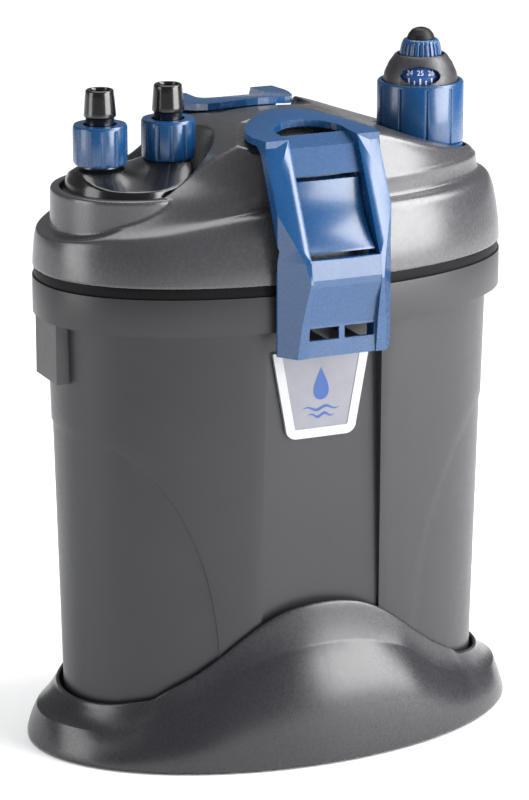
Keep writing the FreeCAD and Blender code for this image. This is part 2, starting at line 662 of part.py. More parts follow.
# ---- write every piece -----------------------------------------------------------------------
def main():
    os.makedirs("parts", exist_ok=True)
    head = make_head_shell()
    front_latch = make_latch()
    front_pin = make_hinge_pin()
    pieces = {
        "tub": make_tub(),
        "base_skirt": make_skirt(),
        "rubber_feet": make_feet(),
        "badge_frame": make_badge_frame(),
        "badge_panel": make_badge_panel(),
        "front_hinge_pin": front_pin,
        "rear_hinge_pin": to_rear(front_pin),
        "front_latch": front_latch,
        "rear_latch": to_rear(front_latch),
        "head_shell": head,
        "front_latch_keeper": make_keeper(head),
        "rear_latch_keeper": to_rear(make_keeper(to_rear(head))),
        "head_seal": make_seal(),
        "motor_cover": make_motor_cover(),
        "cover_screws": make_cover_screws(),
        "volute_housing": make_volute(),
        "outlet_duct": make_outlet_duct(),
        "inlet_duct": make_inlet_duct(),
        "stator_core": make_stator_core(),
        "stator_coil": make_stator_coil(),
        "impeller_shaft": make_shaft(),
        "shaft_bushes": make_bushes(),
        "impeller": make_impeller(),
        "rotor_magnet": make_rotor(),
        "connector_block": make_connector(),
        "connector_o_rings": Part.Compound(o_rings()),
        "inlet_spigot": make_spigot(INLET_X),
        "outlet_spigot": make_spigot(OUTLET_X),
        "inlet_nut": make_nut(INLET_X),
        "outlet_nut": make_nut(OUTLET_X),
        "collar_ring": make_collar_ring(),
        "heater_collar": make_collar(),
        "heater_dome": make_heater_dome(),
        "heater_tube": make_heater_tube(),
        "heater_element": make_heater_element(),
        "cable_gland": make_gland(),
        "temperature_dial": make_dial(),
        "scale_drum": make_scale_drum(),
        "lower_basket": make_basket(BASKET_LEVELS[0]),
        "middle_basket": make_basket(BASKET_LEVELS[1]),
        "upper_basket": make_basket(BASKET_LEVELS[2]),
        "coarse_foam": make_foam(BASKET_LEVELS[0] + 2.5, BASKET_LEVELS[0] + 46),
        "ceramic_rings": make_rings(BASKET_LEVELS[1] + 2.5),
        "fine_foam": make_foam(BASKET_LEVELS[2] + 2.5, BASKET_LEVELS[2] + 40),
        "intake_pipe": make_intake_pipe(),
    }
    for name, shape in pieces.items():
        save(name, shape)


main()
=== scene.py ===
import math

import bmesh
import bpy
import numpy as np
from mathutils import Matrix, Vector


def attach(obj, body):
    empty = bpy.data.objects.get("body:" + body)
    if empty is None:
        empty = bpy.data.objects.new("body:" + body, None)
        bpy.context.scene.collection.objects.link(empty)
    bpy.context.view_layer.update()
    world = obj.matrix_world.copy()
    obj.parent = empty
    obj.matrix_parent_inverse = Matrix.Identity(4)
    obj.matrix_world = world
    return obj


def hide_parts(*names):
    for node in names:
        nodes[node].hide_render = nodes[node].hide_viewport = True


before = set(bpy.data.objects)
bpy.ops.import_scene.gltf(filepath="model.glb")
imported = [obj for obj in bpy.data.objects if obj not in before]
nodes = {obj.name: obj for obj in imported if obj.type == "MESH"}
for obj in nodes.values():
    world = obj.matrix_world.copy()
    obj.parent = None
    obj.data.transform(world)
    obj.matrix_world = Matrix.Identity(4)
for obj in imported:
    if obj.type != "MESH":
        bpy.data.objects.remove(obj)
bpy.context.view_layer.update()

# Looks for a canister filter. Lengths below are in millimetres in the CAD frame; meshes are
# written in metres. X runs along the filter, -Y is the front and Z is up.

MM = 0.001
scene = bpy.context.scene


# ---- colours -----------------------------------------------------------------------------------
def colour(red, green, blue):
    """A colour given as 0-255 screen values, as linear RGBA."""
    def linear(value):
        value /= 255
        return value / 12.92 if value <= 0.04045 else ((value + 0.055) / 1.055) ** 2.4
    return (linear(red), linear(green), linear(blue), 1.0)


TUB_GREY = colour(33, 33, 36)
HEAD_GREY = colour(54, 54, 57)
SKIRT_GREY = colour(34, 34, 38)
BLUE = colour(7, 60, 104)
BLACK = colour(9, 9, 11)

BROAD_MM, FLOW_MM = 38, 9       # how far the tint and the flow marks of a moulding reach
SPECK_PER_GRAIN = 3.1
SPECK_DEPTH_MM, GRAIN_DEPTH_MM = 0.05, 0.03
# painted edge highlight: how wide it reaches, and the normal cosines where it is full and where it ends
SHEEN_EDGE_MM = 0.7
SHEEN_FULL, SHEEN_NONE = 0.86, 0.995      # cosine between the rounded and the true normal
PATCHY_SHARE = 0.25             # share of the roughness swing that follows the flow marks
COAT_ROUGH = 0.12


# ---- materials ---------------------------------------------------------------------------------
def new_material(name):
    material = bpy.data.materials.new(name)
    material.use_nodes = True
    tree = material.node_tree
    tree.nodes.clear()
    output = tree.nodes.new("ShaderNodeOutputMaterial")
    shader = tree.nodes.new("ShaderNodeBsdfPrincipled")
    tree.links.new(shader.outputs["BSDF"], output.inputs["Surface"])
    return material, tree, shader


def noise(tree, coordinates, size_mm, detail=2.0, rough=0.5, stretch=(1, 1, 1)):
    """Noise whose features are about size_mm across."""
    mapping = tree.nodes.new("ShaderNodeMapping")
    mapping.inputs["Scale"].default_value = stretch
    tree.links.new(coordinates, mapping.inputs["Vector"])
    node = tree.nodes.new("ShaderNodeTexNoise")
    node.inputs["Scale"].default_value = 1 / (size_mm * MM)
    node.inputs["Detail"].default_value = detail
    node.inputs["Roughness"].default_value = rough
    tree.links.new(mapping.outputs["Vector"], node.inputs["Vector"])
    return node.outputs["Fac"]


def remap(tree, value, low, high, from_low=0.25, from_high=0.75):
    node = tree.nodes.new("ShaderNodeMapRange")
    node.inputs["From Min"].default_value = from_low
    node.inputs["From Max"].default_value = from_high
    node.inputs["To Min"].default_value = low
    node.inputs["To Max"].default_value = high
    tree.links.new(value, node.inputs["Value"])
    return node.outputs["Result"]


def math_node(tree, operation, a, b):
    node = tree.nodes.new("ShaderNodeMath")
    node.operation = operation
    for socket, value in zip(node.inputs, (a, b)):
        if isinstance(value, (int, float)):
            socket.default_value = value
        else:
            tree.links.new(value, socket)
    return node.outputs["Value"]


def mix_colour(tree, factor, a, b):
    node = tree.nodes.new("ShaderNodeMix")
    node.data_type = "RGBA"
    tree.links.new(factor, node.inputs["Factor"])
    for socket, value in ((node.inputs["A"], a), (node.inputs["B"], b)):
        if isinstance(value, tuple):
            socket.default_value = value
        else:
            tree.links.new(value, socket)
    return node.outputs["Result"]


def edge_mask(tree, radius_mm):
    """1 on the line along an edge that takes the painted highlight, 0 on the flats: the rounded normal leaves
    the true one there.
    """
    bevel = tree.nodes.new("ShaderNodeBevel")
    bevel.samples = 4
    bevel.inputs["Radius"].default_value = radius_mm * MM
    geometry = tree.nodes.new("ShaderNodeNewGeometry")
    dot = tree.nodes.new("ShaderNodeVectorMath")
    dot.operation = "DOT_PRODUCT"
    tree.links.new(bevel.outputs["Normal"], dot.inputs[0])
    tree.links.new(geometry.outputs["Normal"], dot.inputs[1])
    return remap(tree, dot.outputs["Value"], 1.0, 0.0, SHEEN_FULL, SHEEN_NONE)


def bump(tree, shader, layers):
    """Layers are (height, depth in mm, strength), from the broadest to the finest."""
    normal = None
    for height, depth_mm, strength in layers:
        node = tree.nodes.new("ShaderNodeBump")
        node.inputs["Strength"].default_value = strength
        node.inputs["Distance"].default_value = depth_mm * MM
        tree.links.new(height, node.inputs["Height"])
        if normal is not None:
            tree.links.new(normal, node.inputs["Normal"])
        normal = node.outputs["Normal"]
    tree.links.new(normal, shader.inputs["Normal"])


def moulded(name, base, rough, rough_swing, grain_mm, grain, edge_sheen=0.35, mottle=0.12, coat=0.0, specular=0.5):
    """Injection moulded plastic: fine spark grain, faint flow mottling and a painted highlight that lightens
    the edges.

    grain_mm is the size of the grain and grain its strength; edge_sheen is how far the painted edge highlight
    lightens an edge;
    mottle is how far the colour drifts over the piece.
    """
    material, tree, shader = new_material(name)
    coordinates = tree.nodes.new("ShaderNodeTexCoord").outputs["Object"]
    broad = noise(tree, coordinates, BROAD_MM, detail=3)
    flow = noise(tree, coordinates, FLOW_MM, detail=4, rough=0.6, stretch=(1, 1, 0.45))
    fine = noise(tree, coordinates, grain_mm, detail=2, rough=0.6)
    speck = noise(tree, coordinates, grain_mm * SPECK_PER_GRAIN, detail=3, rough=0.7)
    darker = tuple(c * (1 - mottle) for c in base[:3]) + (1.0,)
    lighter = tuple(min(1.0, c * (1 + mottle) + 0.002) for c in base[:3]) + (1.0,)
    body = mix_colour(tree, remap(tree, broad, 0.0, 1.0), darker, lighter)
    # painted highlight: edges get a lighter colour in place of the edge highlights, stronger or weaker along
    # the flow marks
    edge_highlight_colour = tuple(min(1.0, c * 1.5 + 0.015) for c in base[:3]) + (1.0,)
    edge_highlight_share = math_node(tree, "MULTIPLY", edge_mask(tree, SHEEN_EDGE_MM), remap(tree, flow, 0.2, edge_sheen, 0.35, 0.7))
    body = mix_colour(tree, edge_highlight_share, body, edge_highlight_colour)
    tree.links.new(body, shader.inputs["Base Color"])
    patchy = remap(tree, flow, rough - rough_swing * PATCHY_SHARE, rough + rough_swing * PATCHY_SHARE)
    sparkle = remap(tree, speck, -rough_swing, rough_swing)
    tree.links.new(math_node(tree, "ADD", patchy, sparkle), shader.inputs["Roughness"])
    shader.inputs["Specular IOR Level"].default_value = specular
    shader.inputs["Coat Weight"].default_value = coat
    shader.inputs["Coat Roughness"].default_value = COAT_ROUGH
    bump(tree, shader, [(speck, SPECK_DEPTH_MM, 0.3 * grain), (fine, GRAIN_DEPTH_MM, grain)])
    return material


def foam(name, base, cell_mm):
    """Open-cell filter foam: light struts, with painted shade darkening the pores between them."""
    material, tree, shader = new_material(name)
    coordinates = tree.nodes.new("ShaderNodeTexCoord").outputs["Object"]
    cells = tree.nodes.new("ShaderNodeTexVoronoi")
    cells.feature = "DISTANCE_TO_EDGE"
    cells.inputs["Scale"].default_value = 1 / (cell_mm * MM)
    tree.links.new(coordinates, cells.inputs["Vector"])
    pore = remap(tree, cells.outputs["Distance"], 0.0, 1.0, 0.03, 0.22)
    tint = noise(tree, coordinates, 14, 3)
    strut = mix_colour(tree, tint, base, tuple(c * 0.7 for c in base[:3]) + (1.0,))
    # painted shade: the pores are coloured near black for the shade inside them
    pore_shade = tuple(c * 0.12 for c in base[:3]) + (1.0,)
    tree.links.new(mix_colour(tree, pore, strut, pore_shade), shader.inputs["Base Color"])
    tree.links.new(remap(tree, tint, 0.85, 0.97), shader.inputs["Roughness"])
    hole = math_node(tree, "SUBTRACT", 1.0, pore)
    bump(tree, shader, [(hole, 0.8, 0.8)])
    return material


def metal(name, base, rough, stretch=(1, 1, 1), metallic=1.0):
    """Metal with fine lines: a stretch below 1 draws them out along that axis, above 1 packs them."""
    material, tree, shader = new_material(name)
    coordinates = tree.nodes.new("ShaderNodeTexCoord").outputs["Object"]
    lines = noise(tree, coordinates, 0.3, 3, 0.6, stretch)
    cloud = noise(tree, coordinates, 6, 2)
    dark = tuple(c * 0.8 for c in base[:3]) + (1.0,)
    tree.links.new(mix_colour(tree, cloud, base, dark), shader.inputs["Base Color"])
    tree.links.new(remap(tree, lines, rough - 0.06, rough + 0.1), shader.inputs["Roughness"])
    shader.inputs["Metallic"].default_value = metallic
    bump(tree, shader, [(lines, 0.02, 0.25)])
    return material


def ceramic(name, base):
    """Sintered filter ceramic: matt, pitted and a little uneven in colour."""
    material, tree, shader = new_material(name)
    coordinates = tree.nodes.new("ShaderNodeTexCoord").outputs["Object"]
    pits = noise(tree, coordinates, 0.7, 4, 0.7)
    cloud = noise(tree, coordinates, 11, 2)
    dark = tuple(c * 0.72 for c in base[:3]) + (1.0,)
    tree.links.new(mix_colour(tree, cloud, base, dark), shader.inputs["Base Color"])
    tree.links.new(remap(tree, pits, 0.75, 0.95), shader.inputs["Roughness"])
    bump(tree, shader, [(pits, 0.2, 0.6)])
    return material


def glass(name):
    material, tree, shader = new_material(name)
    coordinates = tree.nodes.new("ShaderNodeTexCoord").outputs["Object"]
    smear = noise(tree, coordinates, 12, 3)
    tree.links.new(remap(tree, smear, 0.02, 0.09), shader.inputs["Roughness"])
    shader.inputs["Base Color"].default_value = colour(226, 236, 238)
    shader.inputs["Transmission Weight"].default_value = 0.9
    shader.inputs["IOR"].default_value = 1.47
    bump(tree, shader, [(smear, 0.03, 0.1)])
    return material


MOULDINGS = {
    "tub_plastic": dict(base=TUB_GREY, rough=0.38, rough_swing=0.05, grain_mm=0.5, grain=0.14,
                        edge_sheen=0.3, mottle=0.05, specular=0.45),
    "head_plastic": dict(base=HEAD_GREY, rough=0.27, rough_swing=0.06, grain_mm=0.5, grain=0.24,
                         edge_sheen=0.4, mottle=0.06, specular=0.8),
    "skirt_plastic": dict(base=SKIRT_GREY, rough=0.28, rough_swing=0.05, grain_mm=0.5, grain=0.16,
                          edge_sheen=0.3, mottle=0.05, specular=0.6),
    "blue_plastic": dict(base=BLUE, rough=0.27, rough_swing=0.03, grain_mm=0.4, grain=0.05,
                         edge_sheen=0.4, mottle=0.05, coat=0.15, specular=0.6),
    "black_plastic": dict(base=BLACK, rough=0.2, rough_swing=0.04, grain_mm=0.35, grain=0.06,
                          edge_sheen=0.5, mottle=0.08, coat=0.3),
    "seal_rubber": dict(base=colour(2, 2, 3), rough=0.5, rough_swing=0.04, grain_mm=0.6, grain=0.06,
                        edge_sheen=0.05, specular=0.12),
    "foot_rubber": dict(base=colour(30, 30, 31), rough=0.8, rough_swing=0.08, grain_mm=0.8, grain=0.5,
                        edge_sheen=0.3),
    "badge_white": dict(base=colour(172, 173, 176), rough=0.3, rough_swing=0.05, grain_mm=0.5, grain=0.08,
                        edge_sheen=0.2, mottle=0.02),
    "dome_plastic": dict(base=colour(34, 34, 40), rough=0.45, rough_swing=0.16, grain_mm=0.7, grain=1.0,
                         edge_sheen=0.3, mottle=0.25, specular=0.7),
    "gland_rubber": dict(base=colour(5, 5, 6), rough=0.5, rough_swing=0.08, grain_mm=0.7, grain=0.3,
                         edge_sheen=0.2, specular=0.3),
    "drum_plastic": dict(base=colour(30, 70, 132), rough=0.35, rough_swing=0.05, grain_mm=0.4, grain=0.1,
                         edge_sheen=0.2),
    "basket_plastic": dict(base=colour(58, 59, 63), rough=0.45, rough_swing=0.06, grain_mm=0.6, grain=0.3),
    "inner_plastic": dict(base=colour(40, 41, 44), rough=0.4, rough_swing=0.06, grain_mm=0.5, grain=0.2),
    "print_white": dict(base=colour(222, 228, 236), rough=0.45, rough_swing=0.04, grain_mm=0.5, grain=0.05,
                        edge_sheen=0.1, mottle=0.03),
    "print_blue": dict(base=colour(24, 66, 130), rough=0.4, rough_swing=0.04, grain_mm=0.5, grain=0.05,
                       edge_sheen=0.1, mottle=0.05),
}
ALONG_X, UPRIGHT = (0.1, 1, 1), (1, 1, 0.05)     # stretch of the lines in a metal
LAYERED, WOUND = (1, 1, 6), (1, 1, 8)
MATERIALS = {slot: moulded(slot, **look) for slot, look in MOULDINGS.items()}
MATERIALS.update({
    "badge_grey": metal("badge_grey", colour(124, 125, 132), 0.42, UPRIGHT, metallic=0.25),
    "steel": metal("steel", colour(176, 178, 182), 0.25, ALONG_X),
    "lamination": metal("lamination", colour(120, 122, 126), 0.4, LAYERED),
    "coil": metal("coil", colour(178, 96, 48), 0.3, WOUND),
    "heater_glass": glass("heater_glass"),
    "ceramic_core": ceramic("ceramic_core", colour(214, 208, 192)),
    "ceramic_media": ceramic("ceramic_media", colour(218, 210, 196)),
    "magnet": ceramic("magnet", colour(48, 47, 50)),
    "coarse_foam": foam("coarse_foam", colour(38, 84, 150), cell_mm=1.9),
    "fine_foam": foam("fine_foam", colour(196, 60, 40), cell_mm=0.9),
})


# ---- mesh helpers ------------------------------------------------------------------------------
def mesh_from(name, points, faces):
    mesh = bpy.data.meshes.new(name)
    mesh.from_pydata([tuple(c * MM for c in p) for p in points], [], faces)
    mesh.update()
    return mesh


def face_outward(mesh, flat=False):
    """Turn every face outward; flat first splits the faces with more than four corners into triangles."""
    work = bmesh.new()
    work.from_mesh(mesh)
    if flat:
        bmesh.ops.triangulate(work, faces=[f for f in work.faces if len(f.verts) > 4])
    bmesh.ops.recalc_face_normals(work, faces=work.faces)
    work.to_mesh(mesh)
    work.free()
    return mesh


def circle(x, radius, z, count):
    """Level ring of points about the upright line at x."""
    angles = [2 * math.pi * i / count for i in range(count)]
    return [(x + radius * math.cos(a), radius * math.sin(a), z) for a in angles]


def rings_mesh(name, rings, first=None, last=None, joined=False):
    """Skin rings of equally many points; first and last are tip points that close the ends."""
    count = len(rings[0])
    points = [p for ring in rings for p in ring]
    faces = []
    pairs = list(zip(range(len(rings) - 1), range(1, len(rings))))
    if joined:
        pairs.append((len(rings) - 1, 0))
    for a, b in pairs:
        for i in range(count):
            j = (i + 1) % count
            faces.append((a * count + i, a * count + j, b * count + j, b * count + i))
    for tip, ring_index, flip in ((first, 0, True), (last, len(rings) - 1, False)):
        if tip is None:
            continue
        points.append(tip)
        centre = len(points) - 1
        for i in range(count):
            j = (i + 1) % count
            a, b = ring_index * count + i, ring_index * count + j
            faces.append((b, a, centre) if flip else (a, b, centre))
    return face_outward(mesh_from(name, points, faces))


def turned_mesh(name, outline, x, count=128):
    """Closed outline of (radius, z) points turned about the upright line at x; tips where the radius is 0."""
    rings = [circle(x, r, z, count) for r, z in outline if r > 0]
    if outline[0][0] > 0:
        return rings_mesh(name, rings, joined=True)
    return rings_mesh(name, rings, (x, 0, outline[0][1]), (x, 0, outline[-1][1]))


def plug_mesh(name, x, radius, z0, z1, count=128):
    """Upright cylinder."""
    return turned_mesh(name, [(0, z0), (radius, z0), (radius, z1), (0, z1)], x, count)


def prism_mesh(name, outline, x0, x1):
    """Outline of (y, z) points, extruded along X."""
    count = len(outline)
    points = [(x, y, z) for x in (x0, x1) for y, z in outline]
    faces = [tuple(reversed(range(count))), tuple(range(count, 2 * count))]
    for i in range(count):
        j = (i + 1) % count
        faces.append((i, j, count + j, count + i))
    return face_outward(mesh_from(name, points, faces))


def place(data):
    """Object of the same name for a mesh, curve or light."""
    placed = bpy.data.objects.new(data.name, data)
    scene.collection.objects.link(placed)
    return placed


def evaluated_mesh(piece):
    bpy.context.view_layer.update()
    graph = bpy.context.evaluated_depsgraph_get()
    return bpy.data.meshes.new_from_object(piece.evaluated_get(graph))


def settle(piece):
    """Apply every modifier on a piece."""
    mesh = evaluated_mesh(piece)
    piece.modifiers.clear()
    piece.data = mesh
    return piece


def combine(piece, mesh, operation):
    """Boolean a closed mesh into or out of a piece, then drop the tool."""
    tool = place(mesh)
    modifier = piece.modifiers.new("combine", "BOOLEAN")
    modifier.operation = operation
    modifier.solver = "MANIFOLD"
    modifier.object = tool
    settle(piece)
    bpy.data.objects.remove(tool)
    return piece


def soften(piece, voxel_mm, passes):
    """Remesh evenly and relax, which rounds every edge as a moulding is rounded."""
    remesh = piece.modifiers.new("even", "REMESH")
    remesh.mode = "VOXEL"
    remesh.voxel_size = voxel_mm * MM
    remesh.use_smooth_shade = True
    relax = piece.modifiers.new("relax", "SMOOTH")
    relax.factor = 0.5
    relax.iterations = passes
    return settle(piece)


def finish_piece(piece, slot, body, *replaced):
    """Material, smooth shading, and the body and CAD nodes that a piece stands for."""
    piece.data.polygons.foreach_set("use_smooth", [True] * len(piece.data.polygons))
    piece.data.materials.clear()
    piece.data.materials.append(MATERIALS[slot])
    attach(piece, body)
    if replaced:
        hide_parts(*replaced)
    return piece


def oval_ring(length, half, z, exponent, count):
    """Level ring of points on a superellipse."""
    ring = []
    for i in range(count):
        angle = 2 * math.pi * i / count
        c, s = math.cos(angle), math.sin(angle)
        x = math.copysign(abs(c) ** (2 / exponent), c) * length
        y = math.copysign(abs(s) ** (2 / exponent), s) * half
        ring.append((x, y, z))
    return ring


def curve_through(points):
    """Monotone cubic through (t, value) points, as a function."""
    t = np.array([p[0] for p in points], float)
    v = np.array([p[1] for p in points], float)
    step = np.diff(t)
    slope = np.diff(v) / step
    tangent = np.concatenate(([slope[0]], (slope[:-1] + slope[1:]) / 2, [slope[-1]]))
    for i, m in enumerate(slope):
        if m == 0:
            tangent[i] = tangent[i + 1] = 0
        else:
            a, b = tangent[i] / m, tangent[i + 1] / m
            if a < 0:
                tangent[i] = 0
            if b < 0:
                tangent[i + 1] = 0
            if a * a + b * b > 9:
                scale = 3 / math.sqrt(a * a + b * b)
                tangent[i], tangent[i + 1] = scale * a * m, scale * b * m

    def value(x):
        x = min(max(x, t[0]), t[-1])
        i = min(int(np.searchsorted(t, x, side="right")) - 1, len(step) - 1)
        h = step[i]
        u = (x - t[i]) / h
        return float((2 * u**3 - 3 * u**2 + 1) * v[i] + (u**3 - 2 * u**2 + u) * h * tangent[i]
                     + (-2 * u**3 + 3 * u**2) * v[i + 1] + (u**3 - u**2) * h * tangent[i + 1])
    return value


def soft_min(a, b, width):
    """The smaller of two values, rounded off where they are within width of each other."""
    near = max(width - abs(a - b), 0.0) / width
    return min(a, b) - near * near * width / 4


def ramp(value, low, high):
    """Smooth rise from 0 at low to 1 at high."""
    t = min(max((value - low) / (high - low), 0.0), 1.0)
    return t * t * (3 - 2 * t)


# ---- base skirt --------------------------------------------------------------------------------
TUB_N, SKIRT_N = 2.15, 2.0      # how square the ovals of the tub and of the skirt's foot are
TUB_HALVES = (100.1, 57.8)
LIP_GAP = 0.5
LIP_HALVES = (102.6, 60.4)
CREASE_HALVES = (112.6, 63.9)
FOOT_HALVES = (116.4, 76.0)
FOOT_INNER_HALVES = (113.4, 73.0)
FOOT_Z = 1.2
LIP_INSIDE_DEPTH = 9
LIP_ROUND = 1.1
LIP_HEIGHT = curve_through([
    (0, 71.5), (8, 71.0), (20, 68.4), (30, 63.6), (39, 57.4), (49, 49.4), (59, 42.0),
    (71, 34.5), (76, 30.8), (84, 28.4), (94, 25.8), (110, 24.3)])
CREASE_HEIGHT = curve_through([
    (0, 54.0), (10, 53.5), (20, 51.9), (32, 48.0), (44, 42.3), (52, 36.0), (62, 29.0),
    (70, 24.9), (79, 21.4), (88, 17.4), (97, 15.4), (116, 15.2)])
LIP_ROUNDING = ((0.0, 1.0), (0.08, 0.45), (0.25, 0.1), (0.5, 0.0), (0.75, 0.12), (0.92, 0.5),
                (1.0, LIP_ROUND))       # share of the way across the lip, and how far it has dropped
SHOULDER_STEPS = (0.12, 0.25, 0.4, 0.55, 0.7, 0.82, 0.9, 0.95, 0.98, 1.0)
FLANK_STEPS = (0.02, 0.05, 0.1, 0.17, 0.25, 0.34, 0.44, 0.54, 0.64, 0.74, 0.83, 0.9, 0.95, 0.98, 1.0)


def between(ring_a, ring_b, share, heights):
    return [(a[0] + (b[0] - a[0]) * share, a[1] + (b[1] - a[1]) * share, z)
            for a, b, z in zip(ring_a, ring_b, heights)]


def skirt_rings(count=320):
    """Rings of the skirt from its inner foot, up over the lip and down the outside to the foot."""
    inner_foot = oval_ring(*FOOT_INNER_HALVES, FOOT_Z, SKIRT_N, count)
    lip_oval = oval_ring(TUB_HALVES[0] + LIP_GAP, TUB_HALVES[1] + LIP_GAP, 0.0, TUB_N, count)
    out_oval = oval_ring(*LIP_HALVES, 0.0, TUB_N, count)
    crease_oval = oval_ring(*CREASE_HALVES, 0.0, SKIRT_N, count)
    foot_oval = oval_ring(*FOOT_HALVES, FOOT_Z, SKIRT_N, count)
    lips = [LIP_HEIGHT(abs(p[0])) for p in out_oval]
    creases = [CREASE_HEIGHT(abs(p[0])) for p in crease_oval]

    rings = [inner_foot, between(inner_foot, crease_oval, 0.5, [c * 0.45 + 1 for c in creases])]
    rings.append(between(lip_oval, out_oval, 0.0, [z - LIP_INSIDE_DEPTH for z in lips]))
    for share, drop in LIP_ROUNDING:
        rings.append(between(lip_oval, out_oval, share, [z - drop for z in lips]))
    for share in SHOULDER_STEPS:
        sag = 0.9 * math.sin(math.pi * share)
        heights = [(lip - LIP_ROUND) + (crease - lip + LIP_ROUND) * share - sag
                   for lip, crease in zip(lips, creases)]
        rings.append(between(out_oval, crease_oval, share, heights))
    for step in FLANK_STEPS:
        # steeper at the front, easier at the ends, and tucked in a little at the foot
        tuck = 0.028 * max(0.0, (step - 0.95) / 0.05) ** 2
        ring = []
        for i in range(count):
            front = abs(math.sin(2 * math.pi * i / count)) ** 1.5
            bulge = 1 - (1 - step) ** (1.15 + 1.45 * front) - tuck
            a, b = crease_oval[i], foot_oval[i]
            z = creases[i] + (FOOT_Z - creases[i]) * step
            ring.append((a[0] + (b[0] - a[0]) * bulge, a[1] + (b[1] - a[1]) * bulge, z))
        rings.append(ring)
    return rings


skirt = place(rings_mesh("skirt_body", skirt_rings(), joined=True))
finish_piece(skirt, "skirt_plastic", "tub", "base_skirt")


# ---- pump head ---------------------------------------------------------------------------------
# Half-widths and end lengths against height, for the walls; crest heights against X, for the crown.
CUP_X, HEATER_X = -66.0, 75.0
PORTS = (-80.6, -48.5)
HEAD_Z0, HEAD_Z1 = 220.5, 286.0
WALL = 3.2
HALF_BAND = curve_through([
    (220.5, 65.55), (225, 65.4), (229, 65.0), (234, 64.2), (238, 63.4), (242, 62.4), (245, 61.3),
    (247.5, 60.0), (249.3, 58.6), (250.4, 57.2), (250.9, 55.9), (251.2, 54.3), (251.6, 53.7),
    (253, 53.6), (257, 53.7), (260.0, 54.1), (260.5, 54.0), (261.0, 53.6), (265, 52.2), (269, 50.9),
    (273, 49.5), (277, 48.0), (280, 46.6), (283, 44.8), (286, 42.0)])
HALF_PLAIN = curve_through([
    (220.5, 65.55), (229, 65.0), (238, 63.4), (245, 61.3), (248.5, 60.0), (250.2, 58.9), (251.2, 57.6),
    (253, 56.3), (258, 54.9), (265, 52.6), (272, 50.8), (279.5, 47.9), (286, 43.0)])
RIGHT_END = curve_through([
    (220.5, 109.95), (229, 109.5), (238, 108.2), (244, 107.0), (248, 105.7), (250, 104.5), (251.2, 103.0),
    (251.8, 101.3), (252.6, 99.9), (254, 99.4), (258, 98.9), (260.4, 98.6), (261.4, 97.9), (264, 96.9),
    (267, 96.0), (272, 94.2), (279.5, 91.0), (286, 87.0)])
LEFT_END = curve_through([
    (220.5, 109.95), (229, 109.5), (235, 108.8), (239, 107.4), (241.5, 105.0), (244.5, 99.8),
    (250, 88.8), (256, 79.0), (263.5, 64.5), (272, 54.0), (279.5, 47.5), (286, 44.0)])
CREST = curve_through([
    (-116, 236.0), (-103, 238.0), (-94, 240.4), (-85, 244.2), (-75, 250.0), (-66, 256.0), (-51, 264.5),
    (-39.5, 272.5), (-25, 280.0), (-10, 283.2), (5, 283.8), (20, 282.6), (36, 278.6), (52, 273.2),
    (68, 268.0), (84, 263.6), (97, 261.2), (106, 259.4), (118, 257.0)])
CHANNEL = [(-90, 214), (-66.6, 214), (-66.6, 236), (-49.6, 273.4), (-41.4, 274.6), (-40.4, 276.2),
           (-30.0, 278.4), (-20.0, 280.2), (-11.4, 281.6), (-11.4, 300), (-90, 300)]
CHANNEL_HALF = 31.4
CUP = [(0, 232), (36.4, 232), (36.0, 254.6), (35.6, 255.6), (34.8, 256.0), (0, 256.0)]
CUP_BORE = [(0, 247), (31.9, 247), (31.9, 256), (35.0, 270), (39.5, 292), (0, 292)]
SWOOSH_DROP = 11.0              # how far the band runs downhill on its way to the left end
CROWN_SCALES = (0.94, 0.86, 0.76, 0.65, 0.53, 0.4, 0.27, 0.13)


def head_solid(name, inset, bottom, top_drop, count=360):
    """Closed head block: walls that step in at the band, a crown under the crest line, a flat underside."""
    level_gap = 0.6
    levels = int((HEAD_Z1 - HEAD_Z0) / level_gap)
    heights = [bottom] + [HEAD_Z0 + level_gap * i for i in range(1, levels)] + [HEAD_Z1]

    def wall_point(angle, z, scale):
        c, s = math.cos(angle), math.sin(angle)
        left_share = ramp(-c, 0.18, 0.62)
        level = min(max(z, HEAD_Z0), HEAD_Z1)
        sunk = min(level + SWOOSH_DROP * ramp(-c, 0.2, 1.0), HEAD_Z1)
        half = HALF_BAND(sunk) * (1 - left_share) + HALF_PLAIN(sunk) * left_share
        length = RIGHT_END(level) if c > 0 else LEFT_END(level)
        x = math.copysign(abs(c) ** (2 / TUB_N), c) * (length - inset) * scale
        y = math.copysign(abs(s) ** (2 / TUB_N), s) * (half - inset) * scale
        rounding = 1.2 + 5.0 * ramp(x, -40, 10)
        return (x, y, max(bottom, soft_min(z, CREST(x) - top_drop, rounding)))

    angles = [2 * math.pi * i / count for i in range(count)]
    rings = [[wall_point(a, z, 1.0) for a in angles] for z in heights]
    for scale in CROWN_SCALES:
        rings.append([wall_point(a, HEAD_Z1, scale) for a in angles])
    return rings_mesh(name, rings, (0, 0, bottom), (0, 0, CREST(0) - top_drop))


def rotated_outline(outline):
    """The same (y, z) outline turned half round, from the front to the rear."""
    return [(-y, z) for y, z in reversed(outline)]


